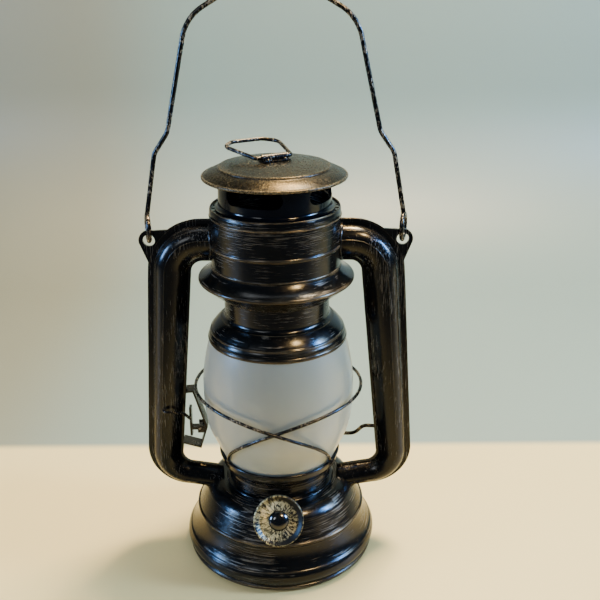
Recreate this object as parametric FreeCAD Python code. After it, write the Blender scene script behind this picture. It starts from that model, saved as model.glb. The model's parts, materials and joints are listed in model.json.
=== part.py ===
import FreeCAD, Part
import math
import os

# Hurricane lantern run on three round cells: a flared base with a dimmer dial, a frosted globe in a cup,
# two pressed side tubes that carry an air drum, a hood that lifts off the globe, and a wire bail.
# Millimetres, +Z up, origin at the middle of the base on the surface it stands on, dial towards -Y.

Vec = FreeCAD.Vector
ORIGIN = Vec(0, 0, 0)
EAST = Vec(1, 0, 0)
REAR = Vec(0, 1, 0)
UP = Vec(0, 0, 1)

# ---- driving dimensions: base ----
base_radius = 75.4
shoulder_radius = 65.8
foot_height = 2.0
edge_lift = 1.2
bead_rise = 10.8
skirt_height = 34.8
tank_lean = 28.0
tank_wall_length = 17.0
tank_height = 22.5
sheet = 1.0

# ---- driving dimensions: neck, cup and globe ----
neck_radius = 40.0
neck_height = 13.5
cup_room = 2.37
cup_depth = 11.0
cup_lip = 0.9
globe_foot_radius = 40.0
globe_taper = 5.1
globe_radius = 57.4
globe_top_radius = 50.2
globe_height = 108.5
globe_wall = 2.2

# ---- driving dimensions: hood, drum and cap ----
hood_radius = 38.75
bell_overlap = 1.8
bell_lap = 2.2
bell_height = 19.0
hood_sheet = 0.8
drum_room = 8.25
drum_height = 43.7
drum_gap = 57.2
drum_bead_rise = 16.4
slot_count = 36
skirt_flare = 10.0
skirt_drop = 21.8
collar_wall = 1.5
collar_lap = 8.0
collar_foot = 2.6
vent_count = 4
vent_spread = 62.0
vent_turn = -112.0
cap_overhang = 11.3
cap_lift = 21.5
cap_rise = 6.6
dome_inset = 0.3
dome_rise = 3.4

# ---- driving dimensions: side tubes ----
tube_splay = 4.66
tube_reach = 6.8
tube_rise = 16.6
top_bend = 23.0
bottom_bend = 20.0
foot_slope = 9.5
seam = 1.1
tube_sheet = 1.2
ear_radius = 7.4
ear_hole = 4.4
ear_offset = 44.7
ear_angle = 32.7
# width, depth, outer fin and inner fin of the pressed tube: at its top, at its foot and on the lower leg
top_form = (25.0, 24.0, 4.3, 2.0)
middle_form = (21.4, 22.0, 4.3, 2.0)
foot_form = (17.0, 19.0, 2.4, 1.4)

# ---- driving dimensions: bail, ring and small wires ----
bail_wire = 1.7
bail_eye = 9.3
bail_twist = 14.0
bail_rise = 166.5
ring_wire = 1.4
ring_turn = 28.0
ring_tilt = 8.0
ring_length = 37.5
ring_width = 21.5
ring_skew = 3.0
clip_wall = 0.9
clip_length = 20.0
clip_foot = 5.7
rivet_radius = 0.9
rivet_head = 1.35
rivet_along = 6.6
rivet_across = 4.1
guard_wire = 1.25
guard_end = 146.0
guard_stand = 6.6
guard_gap = 1.5
guard_rise = 66.5
small_wire = 1.2
anchor_wire_radius = 1.5

# ---- driving dimensions: thumb lever and its bracket ----
lever_rise = 29.0
lever_inset = 0.4
bracket_up = 32.0
bracket_down = 14.0
bracket_width = 11.0
bracket_strip = 1.5
bracket_ear = 1.4
lever_width = 6.0
pin_radius = 1.0
pin_inset = 4.2
thumb_reach = 6.9
thumb_height = 17.5
thumb_thickness = 1.8

# ---- driving dimensions: dial and dimmer ----
dial_radius = 18.7
dial_up_slope = 19.2
dial_proud = 5.1
dial_depth = 4.4
dome_button = 7.5
shaft_radius = 3.0
bush_radius = 4.5
shaft_front = -1.9
bush_front = -3.15
body_front = -11.6

# ---- driving dimensions: cells and inner parts ----
cell_radius = 7.25
cell_length = 50.5
cell_count = 3
door_end_room = 6.5
door_side_room = 3.0
box_wall = 1.6
screw_angles = (30, 150, 270)
foot_angles = (45, 135, 225, 315)
led_count = 12
led_ring = 24.0
led_radius = 2.5
post_height = 46.0

# ---- clearances ----
running = 0.05
loose = 0.3

# ---- heights and places worked out from the driving dimensions ----
bead_z = edge_lift + bead_rise
shoulder_z = edge_lift + skirt_height
lean = math.radians(tank_lean)
wall_top_radius = shoulder_radius - tank_wall_length * math.sin(lean)
wall_top_z = shoulder_z + tank_wall_length * math.cos(lean)
tank_top_z = shoulder_z + tank_height
cup_z = tank_top_z + neck_height
cup_rim_z = cup_z + cup_depth
globe_z = cup_z + sheet + loose
globe_top_z = globe_z + globe_height
bulge_z = globe_z + 0.6 * globe_height
taper_z = globe_z + 0.26 * globe_height
taper_radius = globe_radius - globe_taper
rim_share = (cup_rim_z - globe_z) / (taper_z - globe_z)
cup_radius = globe_foot_radius + (taper_radius - globe_foot_radius) * rim_share + cup_room
bell_z = globe_top_z - bell_lap
drum_z = bell_z + drum_gap
drum_top_z = drum_z + drum_height
cap_z = drum_top_z + cap_lift
dome_z = cap_z + cap_rise
apex_z = dome_z + dome_rise
hood_bore = hood_radius + 0.45
bell_radius = globe_top_radius + bell_overlap
drum_radius = hood_radius + drum_room
skirt_radius = drum_radius + skirt_flare
collar_radius = hood_radius + running + collar_wall
collar_foot_z = drum_top_z - 1.5
cap_radius = collar_radius + cap_overhang
dome_radius = collar_radius - dome_inset
clip_radius = ring_wire + 0.08 + clip_wall
clip_z = apex_z + 0.15 + clip_radius
lever_z = cup_z + lever_rise
lever_x = -(globe_radius - lever_inset)
pin_x = lever_x - pin_inset
inner_skirt = base_radius - 7.4
door_length = cell_length + 2 * door_end_room
door_width = 2 * cell_radius * cell_count + 2 * door_side_room
screw_ring = inner_skirt - 6.5
plate_z = foot_height
plate_top_z = plate_z + 2.0
box_top_z = plate_top_z + 2 * cell_radius + 1.5
cell_z = box_top_z - cell_radius - loose
board_z = box_top_z + box_wall
dial_axis = Vec(0, -math.cos(lean), math.sin(lean))
dial_centre = Vec(0, -shoulder_radius + dial_up_slope * math.sin(lean) - dial_proud * math.cos(lean),
                  shoulder_z + dial_up_slope * math.cos(lean) + dial_proud * math.sin(lean))


# ---- shaping helpers ----
def edges_of(start, steps):
    """Edges in the XZ plane from (radius, height) points: one point is a line, a pair is an arc."""
    edges = []
    here = Vec(start[0], 0, start[1])
    for step in steps:
        if isinstance(step[0], tuple):
            middle = Vec(step[0][0], 0, step[0][1])
            there = Vec(step[1][0], 0, step[1][1])
            edges.append(Part.Arc(here, middle, there).toShape())
        else:
            there = Vec(step[0], 0, step[1])
            edges.append(Part.LineSegment(here, there).toShape())
        here = there
    return edges


def turned(start, *steps):
    """Solid turned about Z from a closed outline."""
    outline = Part.Wire(edges_of(start, steps + (start,)))
    return Part.Face(outline).revolve(ORIGIN, UP, 360)


def spun(wall, start, *steps):
    """Spun sheet: the open outer outline, drawn from the top down, thickened inwards and turned about Z."""
    outline = Part.Wire(edges_of(start, steps))
    band = outline.makeOffset2D(-wall, 0, True, True)
    return band.Faces[0].revolve(ORIGIN, UP, 360)


def tube(outer, bore, low, high):
    """Straight round tube about Z."""
    return turned((bore, low), (outer, low), (outer, high), (bore, high))


def rod(start, end, radius):
    """Round rod between two points."""
    return Part.makeCylinder(radius, (end - start).Length, start, end - start)


def block(low, high):
    """Box from its lowest to its highest corner."""
    return Part.makeBox(high[0] - low[0], high[1] - low[1], high[2] - low[2], Vec(*low))


def route(points, radii=None, share=0.45):
    """Straight runs joined by tangent arcs, each of its own radius or as large as its two runs allow."""
    edges = []
    here = points[0]
    for k, corner in enumerate(points[1:-1]):
        before = points[k]
        after = points[k + 2]
        back = (before - corner).normalize()
        onward = (after - corner).normalize()
        half_turn = (math.pi - back.getAngle(onward)) / 2
        reach = share * min((before - corner).Length, (after - corner).Length)
        if radii:
            reach = min(reach, radii[k] * math.tan(half_turn))
        radius = reach / math.tan(half_turn)
        inward = (back + onward).normalize()
        arc_start = corner + back * reach
        arc_end = corner + onward * reach
        arc_middle = corner + inward * (radius / math.cos(half_turn) - radius)
        edges.append(Part.LineSegment(here, arc_start).toShape())
        edges.append(Part.Arc(arc_start, arc_middle, arc_end).toShape())
        here = arc_end
    edges.append(Part.LineSegment(here, points[-1]).toShape())
    return edges


def wire_rod(edges, radius):
    """Round wire carried along a route."""
    start = edges[0].valueAt(edges[0].FirstParameter)
    heading = edges[0].tangentAt(edges[0].FirstParameter)
    section = Part.Wire(Part.makeCircle(radius, start, heading))
    return Part.Wire(edges).makePipeShell([section], True, True)


def around(radius, degrees, z):
    """Point at an angle about Z, counted from +X towards +Y."""
    angle = math.radians(degrees)
    return Vec(radius * math.cos(angle), radius * math.sin(angle), z)


def on_dial(shape):
    """Place a shape made about Z onto the dial's axis, its zero height at the dial's front."""
    shape.Placement = FreeCAD.Placement(dial_centre, FreeCAD.Rotation(UP, dial_axis))
    return shape


def save(name, shape):
    """Write one node as STEP."""
    if shape.ShapeType == "Compound" and len(shape.Solids) == 1:
        shape = shape.Solids[0]
    box = shape.optimalBoundingBox()
    print("%-18s solids %2d  valid %s  volume %9.1f  z %.1f..%.1f"
          % (name, len(shape.Solids), shape.isValid(), shape.Volume, box.ZMin, box.ZMax))
    shape.exportStep("parts/%s.step" % name)


def group(shapes):
    """Several separate solids kept in one node."""
    return Part.makeCompound(shapes)


# ---- base ----
def base_outline():
    """Outer outline of the base: tank top, leaning wall, flared skirt and rolled bead, top to bottom."""
    shoulder = (shoulder_radius, shoulder_z)
    steps = [
        (neck_radius + 4, tank_top_z),
        ((wall_top_radius - 4.2, wall_top_z + 4.6), (wall_top_radius, wall_top_z)),
        shoulder,
        (shoulder_radius + 0.6, shoulder_z - 1.2),
        ((base_radius - 5.6, bead_z + 12.6), (base_radius - 1.0, bead_z + 3.6)),
        ((base_radius, bead_z), (base_radius - 1.6, bead_z - 4.4)),
        ((base_radius - 3.4, edge_lift + 2.6), (base_radius - 5.8, edge_lift)),
    ]
    return (neck_radius - 1, tank_top_z), steps


def base_solid():
    """The space inside the base's outer outline, filled."""
    start, steps = base_outline()
    return turned((0, start[1]), start, *steps, (0, edge_lift))


def base_shell():
    """Spun sheet base with the hole that takes the dimmer's bush."""
    start, steps = base_outline()
    shell = spun(sheet, start, *steps)
    hole = on_dial(Part.makeCylinder(bush_radius + loose / 2, 30, Vec(0, 0, -30)))
    return shell.cut(hole)


def base_plate():
    """Flat plate that closes the base, with the cell door's opening and the screw holes."""
    plate = Part.makeCylinder(inner_skirt, plate_top_z - plate_z, Vec(0, 0, plate_z))
    cuts = [block((-door_length / 2, -door_width / 2, 0), (door_length / 2, door_width / 2, 9))]
    for angle in screw_angles:
        cuts.append(rod(around(screw_ring, angle, 0), around(screw_ring, angle, 9), 1.7))
    return plate.cut(cuts)


def mounting_ring():
    """Moulded ring bonded inside the skirt, with three bosses that take the plate's screws."""
    low = plate_top_z
    high = low + 4
    skirt = base_inner_solid()
    ring = tube(base_radius, inner_skirt - 3, low, high).common(skirt)
    bosses = [rod(around(screw_ring, a, low), around(screw_ring, a, high + 4), 4.0) for a in screw_angles]
    ring = ring.fuse(bosses)
    return ring.cut([rod(around(screw_ring, a, low - 1), around(screw_ring, a, high + 5), 1.45)
                     for a in screw_angles])


def base_inner_solid():
    """The space inside the base's sheet, clear of it all round."""
    start, steps = base_outline()
    return base_solid().cut(spun(sheet + loose / 3, start, *steps))


def plate_screws():
    """Three pan head screws that hold the base plate."""
    screws = []
    for angle in screw_angles:
        shank = rod(around(screw_ring, angle, plate_z), around(screw_ring, angle, plate_top_z + 6), 1.4)
        head = rod(around(screw_ring, angle, plate_z - 1.2), around(screw_ring, angle, plate_z), 2.8)
        slot = block((-2.0, -0.35, plate_z - 1.3), (2.0, 0.35, plate_z - 0.7))
        slot.translate(around(screw_ring, angle, 0))
        screws.append(head.fuse(shank).cut(slot))
    return group(screws)


def rubber_feet():
    """Four rubber pads under the plate."""
    pads = []
    for angle in foot_angles:
        centre = around(inner_skirt - 8, angle, 0)
        pad = Part.makeCone(4.6, 5.4, foot_height, centre)
        pads.append(pad)
    return group(pads)


def battery_door():
    """Door that closes the cell box from below, set in the plate's opening."""
    gap = loose / 2
    door = block((-door_length / 2 + gap, -door_width / 2 + gap, plate_z),
                 (door_length / 2 - gap, door_width / 2 - gap, plate_top_z - 0.2))
    ribs = []
    for k in range(5):
        x = door_length / 2 - 9 - 2.2 * k
        ribs.append(block((x - 0.5, -9, plate_z - 0.01), (x + 0.5, 9, plate_z + 0.5)))
    return door.cut(ribs)


def battery_box():
    """Moulded box that holds the cells side by side, open below."""
    outer = block((-door_length / 2 - box_wall, -door_width / 2 - box_wall, plate_top_z),
                  (door_length / 2 + box_wall, door_width / 2 + box_wall, box_top_z + box_wall))
    space = block((-door_length / 2, -door_width / 2, plate_top_z - 1),
                  (door_length / 2, door_width / 2, box_top_z))
    return outer.cut(space)


def cell_rows():
    """Middle line of each cell, across the box."""
    pitch = 2 * cell_radius + 1
    return [(k - (cell_count - 1) / 2) * pitch for k in range(cell_count)]


def battery_cells():
    """Three round cells, alternately turned, each with its raised end."""
    cells = []
    for k, y in enumerate(cell_rows()):
        way = 1 if k % 2 == 0 else -1
        start = Vec(-way * cell_length / 2, y, cell_z)
        shoulder = Vec(way * (cell_length / 2 - 1.5), y, cell_z)
        tip = Vec(way * cell_length / 2, y, cell_z)
        cells.append(rod(start, shoulder, cell_radius).fuse(rod(shoulder, tip, 2.75)))
    return group(cells)


def contact_plates():
    """Spring contacts at both ends of each cell, on the box's end walls."""
    pads = []
    for y in cell_rows():
        for way in (-1, 1):
            wall = Vec(way * door_length / 2, y, cell_z)
            disc_end = Vec(way * (door_length / 2 - 0.6), y, cell_z)
            tip = Vec(way * (cell_length / 2 + running), y, cell_z)
            pads.append(rod(wall, disc_end, 4.5).fuse(rod(disc_end, tip, 2.0)))
    return group(pads)


def circuit_board():
    """Driver board on the cell box, with its inductor and chip."""
    board = block((-20, 2, board_z), (14, 20, board_z + 1.6))
    coil = Part.makeCylinder(3.6, 4, Vec(-12, 11, board_z + 1.6))
    chip = block((-3, 8, board_z + 1.6), (2, 13, board_z + 3.2))
    return board.fuse([coil, chip])


# ---- dial and dimmer ----
def dimmer_body():
    """Rotary dimmer behind the tank wall, with its threaded bush."""
    body = Part.makeCylinder(8.0, 6.5, Vec(0, 0, body_front - 6.5))
    bush = Part.makeCylinder(bush_radius, bush_front - body_front, Vec(0, 0, body_front))
    bore = Part.makeCylinder(shaft_radius + running, 20, Vec(0, 0, body_front - 4.3))
    pins = []
    for middle in (-3, 0, 3):
        pins.append(block((middle - 0.5, -11, body_front - 4), (middle + 0.5, -6.5, body_front - 3.4)))
    return on_dial(body.fuse([bush] + pins).cut(bore))


def dimmer_nut():
    """Hexagon nut on the bush, outside the tank wall."""
    corners = [Vec(6.6 * math.cos(math.radians(60 * k)), 6.6 * math.sin(math.radians(60 * k)), -5.0)
               for k in range(7)]
    nut = Part.Face(Part.makePolygon(corners)).extrude(Vec(0, 0, 1.8))
    return on_dial(nut.cut(Part.makeCylinder(bush_radius, 20, Vec(0, 0, -10))))


def dimmer_shaft():
    """Shaft that the dial turns, seated in the bush."""
    return on_dial(Part.makeCylinder(shaft_radius, shaft_front - body_front + 4, Vec(0, 0, body_front - 4)))


def dial_dish():
    """Dished dial: thin raised rim, sloping wall, flat ring, and a hollow back over the nut."""
    dish = turned((shaft_radius + 0.02, -1.9), (dial_radius - 4.0, -1.9), (dial_radius - 1.3, 0),
                  ((dial_radius - 0.65, 0.45), (dial_radius, 0)), (dial_radius, -dial_depth),
                  (9.0, -dial_depth), (9.0, -2.9), (shaft_radius + 0.02, -2.9))
    return on_dial(dish)


def dial_dome():
    """Glossy domed button in the middle of the dial."""
    return on_dial(turned((0, shaft_front), (dome_button, shaft_front), (dome_button, shaft_front + 0.7),
                          ((dome_button * 0.62, 0.9), (0.8, 1.6)), (0, 1.6)))


# ---- neck, cup, light and globe ----
def globe_cup():
    """Plain neck and globe cup with a rolled lip, pressed over the tank's collar."""
    wall = spun(sheet, (cup_radius, cup_rim_z), (cup_radius - 0.6, cup_rim_z - 4),
                ((cup_radius - 2.2, cup_z + 3), (neck_radius + 1.5, cup_z)),
                ((neck_radius, cup_z - 2), (neck_radius, cup_z - 5)),
                (neck_radius, tank_top_z + 1.4),
                (neck_radius + 1.6, tank_top_z + 1.0), (neck_radius + 1.6, tank_top_z))
    floor = tube(neck_radius + 1.0, 10, cup_z - sheet, cup_z)
    lip = Part.makeTorus(cup_radius - 0.3, cup_lip, Vec(0, 0, cup_rim_z), UP)
    return wall.fuse([floor, lip])


def globe():
    """Frosted glass globe, open at both ends."""
    return spun(globe_wall, (globe_top_radius, globe_top_z),
                ((globe_radius - 1.6, bulge_z + 0.19 * globe_height), (globe_radius, bulge_z)),
                ((globe_radius - 0.35, globe_z + 0.492 * globe_height),
                 (globe_radius - 1.4, globe_z + 0.384 * globe_height)),
                ((globe_radius - 2.75, globe_z + 0.321 * globe_height),
                 (taper_radius, taper_z)),
                (globe_foot_radius, globe_z))


def globe_radius_at(z):
    """Outer radius of the globe at a height up to its bulge: a cone, then a swelling curve."""
    if z < taper_z:
        share = (z - globe_z) / (taper_z - globe_z)
        return globe_foot_radius + (taper_radius - globe_foot_radius) * share
    return globe_radius - globe_taper * max(0.0, (bulge_z - z) / (bulge_z - taper_z)) ** 2.6


def led_board():
    """Round board on the cup's floor that carries the lamps."""
    return tube(31, 7.5, cup_z, cup_z + 1.6)


def led_lamps():
    """Ring of small domed lamps."""
    lamps = []
    for k in range(led_count):
        foot = around(led_ring, 360 * k / led_count, cup_z + 1.6)
        body = Part.makeCylinder(led_radius, 3, foot)
        lamps.append(body.fuse(Part.makeSphere(led_radius, foot + Vec(0, 0, 3))))
    return group(lamps)


def light_post():
    """White flame-shaped post that spreads the light, screwed through the cup's floor."""
    top = cup_z + 1.6 + post_height
    return turned((0, cup_z - 7), (7.3, cup_z - 7), (7.3, cup_z + 1.6), (15, cup_z + 1.6),
                  ((11, cup_z + 16), (6, top - 6)), ((4.2, top - 1.5), (1.2, top)), (0, top))


def led_leads():
    """Two insulated leads from the driver board up to the lamp board."""
    leads = []
    for x in (-6.0, 6.0):
        points = [Vec(x, 12, board_z + 1.6), Vec(x, 12, board_z + 14), Vec(1.5 * x, 3, tank_top_z - 8),
                  Vec(3.4 * x, 0, cup_z - sheet - 0.1)]
        leads.append(wire_rod(route(points), 0.8))
    return group(leads)


# ---- guard ----
def guard_hoop(side):
    """Wire that loops high round one side of the globe and comes down to the cup on the other side."""
    low_z = cup_rim_z + cup_lip + guard_wire + running
    top_z = globe_z + guard_rise
    points = []
    steps = 10
    for k in range(-steps, steps + 1):
        share = abs(k) / steps
        z = top_z - (top_z - low_z) * share ** 3.2
        angle = math.radians(share * guard_end)
        hug = globe_radius_at(z) + guard_wire + guard_gap
        stand = hug + (guard_stand - guard_wire - guard_gap) * max(0.0, math.cos(angle)) ** 2
        over = (2 * guard_wire + loose) * math.sin(angle) ** 4 if side < 0 else 0.0
        radius = stand + over if k not in (-steps, steps) else cup_radius + 0.3
        way = 1 if k >= 0 else -1
        points.append(Vec(side * radius * math.cos(angle), way * radius * math.sin(angle), z))
    return wire_rod(route(points), guard_wire)


# ---- side tubes ----
splay = math.radians(tube_splay)
leg_z = drum_z + tube_rise
bend_x = drum_radius + tube_reach
bend_z = leg_z - top_bend
down = Vec(math.sin(splay), 0, -math.cos(splay))
shaft_out = Vec(math.cos(splay), 0, math.sin(splay))
shaft_top = Vec(bend_x, 0, bend_z) + shaft_out * top_bend
fall = math.radians(foot_slope)
inward = Vec(-math.cos(fall), 0, -math.sin(fall))
foot_end = Vec(wall_top_radius - 1, 0, wall_top_z + 6.0)


def bottom_corner():
    """Where the shaft's middle line meets the lower leg's."""
    gap = foot_end - shaft_top
    spread = down.x * inward.z - down.z * inward.x
    along = (gap.x * inward.z - gap.z * inward.x) / spread
    return shaft_top + down * along


def tube_section(centre, outward, width, depth, outer_fin, inner_fin):
    """Half of the pressed tube's section on its front side: seam flanges and a body with a crest line."""
    crest = 0.10 * width
    half = width / 2

    def at(across, forward):
        return centre + outward * across + REAR * -forward

    corners = {
        "outer_tip": at(half + outer_fin, 0), "outer_edge": at(half + outer_fin, seam),
        "outer_root": at(half, seam), "crest": at(crest, depth / 2), "inner_root": at(-half, seam),
        "inner_edge": at(-half - inner_fin, seam), "inner_tip": at(-half - inner_fin, 0),
        "inner_wall": at(-half + tube_sheet, 0), "crest_wall": at(crest, depth / 2 - tube_sheet),
        "outer_wall": at(half - tube_sheet, 0),
    }
    face_out = at(crest + 0.27 * width, 0.37 * depth)
    face_in = at(crest - 0.38 * width, 0.36 * depth)
    wall_out = at(crest + 0.27 * width - 0.75 * tube_sheet, 0.37 * depth - 0.75 * tube_sheet)
    wall_in = at(crest - 0.38 * width + 0.75 * tube_sheet, 0.36 * depth - 0.75 * tube_sheet)
    c = corners
    edges = [
        Part.LineSegment(c["outer_tip"], c["outer_edge"]),
        Part.LineSegment(c["outer_edge"], c["outer_root"]),
        Part.Arc(c["outer_root"], face_out, c["crest"]),
        Part.Arc(c["crest"], face_in, c["inner_root"]),
        Part.LineSegment(c["inner_root"], c["inner_edge"]),
        Part.LineSegment(c["inner_edge"], c["inner_tip"]),
        Part.LineSegment(c["inner_tip"], c["inner_wall"]),
        Part.Arc(c["inner_wall"], wall_in, c["crest_wall"]),
        Part.Arc(c["crest_wall"], wall_out, c["outer_wall"]),
        Part.LineSegment(c["outer_wall"], c["outer_tip"]),
    ]
    return Part.Wire([edge.toShape() for edge in edges])


def blend_form(share):
    """Tube form part of the way from the shaft's end to the lower leg."""
    return tuple(a + (b - a) * share for a, b in zip(middle_form, foot_form))


def tube_half():
    """Front half of the right-hand side tube, with half of the bail's ear on its flange."""
    leg_start = Vec(drum_radius - 4, 0, leg_z)
    leg = Part.Face(tube_section(leg_start, UP, *top_form)).extrude(Vec(bend_x - leg_start.x, 0, 0))
    bend_face = Part.Face(tube_section(Vec(bend_x, 0, leg_z), UP, *top_form))
    bend = bend_face.revolve(Vec(bend_x, 0, bend_z), REAR, 90 - tube_splay)
    corner = bottom_corner()
    turn = down.getAngle(inward)
    bend_start = corner - down * (bottom_bend * math.tan(turn / 2))
    bend_end = corner + inward * (bottom_bend * math.tan(turn / 2))
    shaft = Part.makeLoft([tube_section(shaft_top, shaft_out, *top_form),
                           tube_section(bend_start, shaft_out, *middle_form)], True, True)
    middle = bend_start - shaft_out * bottom_bend
    sections = []
    steps = 6
    for k in range(steps + 1):
        angle = turn * k / steps
        outward = shaft_out * math.cos(angle) + down * math.sin(angle)
        sections.append(tube_section(middle + outward * bottom_bend, outward, *blend_form(k / steps)))
    low_bend = Part.makeLoft(sections, True, False)
    below = shaft_out * math.cos(turn) + down * math.sin(turn)
    low_leg = Part.makeLoft([tube_section(bend_end, below, *foot_form),
                             tube_section(bend_end + inward * 26, below, *foot_form)], True, True)
    half = leg.fuse([bend, shaft, low_bend, low_leg, ear_plate()])
    return half.cut([Part.makeCylinder(drum_radius, 60, Vec(0, 0, leg_z - 30)), base_solid(), ear_bore()])


def ear_centre():
    """Middle of the bail's hole in the right-hand ear."""
    angle = math.radians(ear_angle)
    return Vec(bend_x + ear_offset * math.cos(angle), 0, bend_z + ear_offset * math.sin(angle))


def ear_plate():
    """Half thickness of the ear: a round lug with a web down to the flange."""
    middle = ear_centre()
    lug = Part.makeCylinder(ear_radius, seam, middle - Vec(0, seam, 0), REAR)
    rim = top_bend + top_form[0] / 2 + top_form[2] - 1.2

    def on_rim(degrees):
        angle = math.radians(degrees)
        return Vec(bend_x + rim * math.cos(angle), -seam, bend_z + rim * math.sin(angle))

    def on_lug(degrees):
        angle = math.radians(degrees)
        return middle + Vec(ear_radius * math.cos(angle), -seam, ear_radius * math.sin(angle))

    corners = [on_rim(56), on_lug(105), on_lug(-25), on_rim(8)]
    web = Part.Face(Part.makePolygon(corners + corners[:1])).extrude(Vec(0, seam, 0))
    return lug.fuse(web)


def ear_bore():
    """Round hole through the ear."""
    return Part.makeCylinder(ear_hole, 4 * seam, ear_centre() - Vec(0, 2 * seam, 0), REAR)


# ---- drum and skirt ----
def air_drum():
    """Air drum with a bead round it, a rolled shoulder and a slotted top."""
    bead = drum_z + drum_bead_rise
    drum = spun(sheet, (hood_bore, collar_foot_z), (drum_radius - 3.6, collar_foot_z),
                (drum_radius - 3.2, drum_top_z),
                ((drum_radius - 0.9, drum_top_z - 1.9), (drum_radius, drum_top_z - 5)),
                (drum_radius, bead + 1.2), ((drum_radius + 0.7, bead), (drum_radius, bead - 1.2)),
                (drum_radius, drum_z))
    cuts = []
    for k in range(slot_count):
        slot = block((collar_radius + 1.0, -0.7, drum_top_z - 4),
                     (collar_radius + collar_foot, 0.7, drum_top_z + 1))
        slot.rotate(ORIGIN, UP, 360 * k / slot_count)
        cuts.append(slot)
    return drum.cut(cuts)


def air_skirt():
    """Saucer-shaped skirt under the drum, flared to a thin rim."""
    rim_z = drum_z - 9.5
    low = drum_z - skirt_drop
    return spun(sheet, (drum_radius - sheet, drum_z), (drum_radius, drum_z),
                (drum_radius + 0.6, drum_z - 0.4), (skirt_radius - 1.2, rim_z + 2.2),
                ((skirt_radius, rim_z + 0.6), (skirt_radius - 0.8, rim_z - 1.0)),
                (hood_bore + 3.0, low), (hood_bore, low))


# ---- hood ----
def bell_neck():
    """Spun bell that covers the globe's top, drawn into the long neck that slides in the drum."""
    shoulder = bell_z + bell_height
    flare = bell_radius - hood_radius
    return spun(hood_sheet, (hood_radius, collar_foot_z + collar_lap), (hood_radius, shoulder + 2),
                ((hood_radius + 0.045 * flare, shoulder - 0.5), (hood_radius + 0.226 * flare, shoulder - 2)),
                ((hood_radius + 0.585 * flare, bell_z + 12.6), (hood_radius + 0.789 * flare, bell_z + 9)),
                ((bell_radius - 1.2, bell_z + 5.8), (bell_radius - 0.6, bell_z + 3)),
                ((bell_radius, bell_z + 1.4), (bell_radius - 0.5, bell_z)))


def vent_collar():
    """Collar round the neck's top, with a foot ring on the drum and four long vents under the cap."""
    top = dome_z - 2.25
    bore = hood_radius + running
    foot = collar_radius + collar_foot
    collar = turned((bore, collar_foot_z), (foot, collar_foot_z), (foot, collar_foot_z + 1.4),
                    ((collar_radius + 0.8, collar_foot_z + 2.0), (collar_radius, collar_foot_z + 3.6)),
                    (collar_radius, top), (bore, top))
    low = drum_top_z + 7.0
    high = cap_z - 3.0
    vents = []
    for k in range(vent_count):
        vent = sector(vent_spread, high - low)
        vent.rotate(ORIGIN, UP, vent_turn + 360 * k / vent_count)
        vents.append(vent.translated(Vec(0, 0, low)))
    return collar.cut(vents)


def sector(degrees, height):
    """Upright wedge about +X, wide enough to cut one vent, with rounded ends."""
    reach = collar_radius + 3
    round_end = height / 2
    trim = math.degrees(round_end / collar_radius)
    half = degrees / 2 - trim
    wedge = Part.makeCylinder(reach, height, ORIGIN, UP, 2 * half)
    wedge.rotate(ORIGIN, UP, -half)
    ends = [rod(around(20, a, round_end), around(reach, a, round_end), round_end) for a in (-half, half)]
    return wedge.fuse(ends)


def cap():
    """Shallow domed cap with a step and a rolled rim."""
    return spun(sheet, (0, apex_z), ((dome_radius * 0.55, apex_z - 0.9), (dome_radius - 1.5, dome_z + 0.4)),
                (dome_radius, dome_z - 0.9),
                ((dome_radius + 6.2, cap_z + 3.4), (cap_radius - 0.9, cap_z + 0.8)),
                ((cap_radius, cap_z - 0.2), (cap_radius - 0.8, cap_z - 1.2)),
                (cap_radius - 2.0, cap_z - 1.2))


def turned_about_cap(shape):
    """Turn a shape made along X to the clip's direction, at the clip's height."""
    shape.Placement = FreeCAD.Placement(Vec(0, 0, clip_z), FreeCAD.Rotation(UP, ring_turn))
    return shape


def rivet_places():
    """Middle of each rivet on the clip's feet."""
    return [(s * rivet_along, t * rivet_across) for s in (-1, 1) for t in (-1, 1)]


def ring_clip():
    """Strip folded over the ring's wire, with two riveted feet on the cap."""
    half = clip_length / 2
    foot_top = clip_wall - clip_radius
    hump = rod(Vec(-half, 0, 0), Vec(half, 0, 0), clip_radius)
    feet = block((-half, -clip_foot, -clip_radius), (half, clip_foot, foot_top))
    bore = rod(Vec(-half - 1, 0, 0), Vec(half + 1, 0, 0), ring_wire + 0.08)
    holes = [rod(Vec(x, y, -clip_radius - 1), Vec(x, y, foot_top + 1), rivet_radius)
             for x, y in rivet_places()]
    return turned_about_cap(hump.fuse(feet).cut([bore] + holes))


def clip_rivets():
    """Four rivets through the clip's feet into the cap."""
    foot_top = clip_wall - clip_radius
    hump = rod(Vec(-clip_length, 0, 0), Vec(clip_length, 0, 0), clip_radius + running)
    rivets = []
    for x, y in rivet_places():
        shank = rod(Vec(x, y, -clip_radius - 0.15), Vec(x, y, foot_top), rivet_radius)
        ball = Part.makeSphere(rivet_head, Vec(x, y, foot_top))
        head = ball.common(block((x - 3, y - 3, foot_top), (x + 3, y + 3, 3))).cut(hump)
        rivets.append(shank.fuse(head))
    return turned_about_cap(group(rivets))


def lift_ring():
    """Round-cornered wire ring, its ends butted inside the clip, leaning back over the cap."""
    half = clip_length / 2 + 3.6
    butt = 0.2
    tilt = math.radians(ring_tilt)

    def on_ring(across, out):
        return Vec(across, out * math.cos(tilt), out * math.sin(tilt))

    points = [on_ring(butt, 0), on_ring(half, 0), on_ring(ring_width - ring_skew, ring_length * 0.82),
              on_ring(ring_width * 0.55 - ring_skew, ring_length * 1.02),
              on_ring(-ring_width * 0.55 - ring_skew, ring_length * 1.02),
              on_ring(-ring_width - ring_skew, ring_length * 0.82), on_ring(-half, 0), on_ring(-butt, 0)]
    return turned_about_cap(wire_rod(route(points, (3.4, 9.0, 9.0, 9.0, 9.0, 3.4)), ring_wire))


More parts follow.
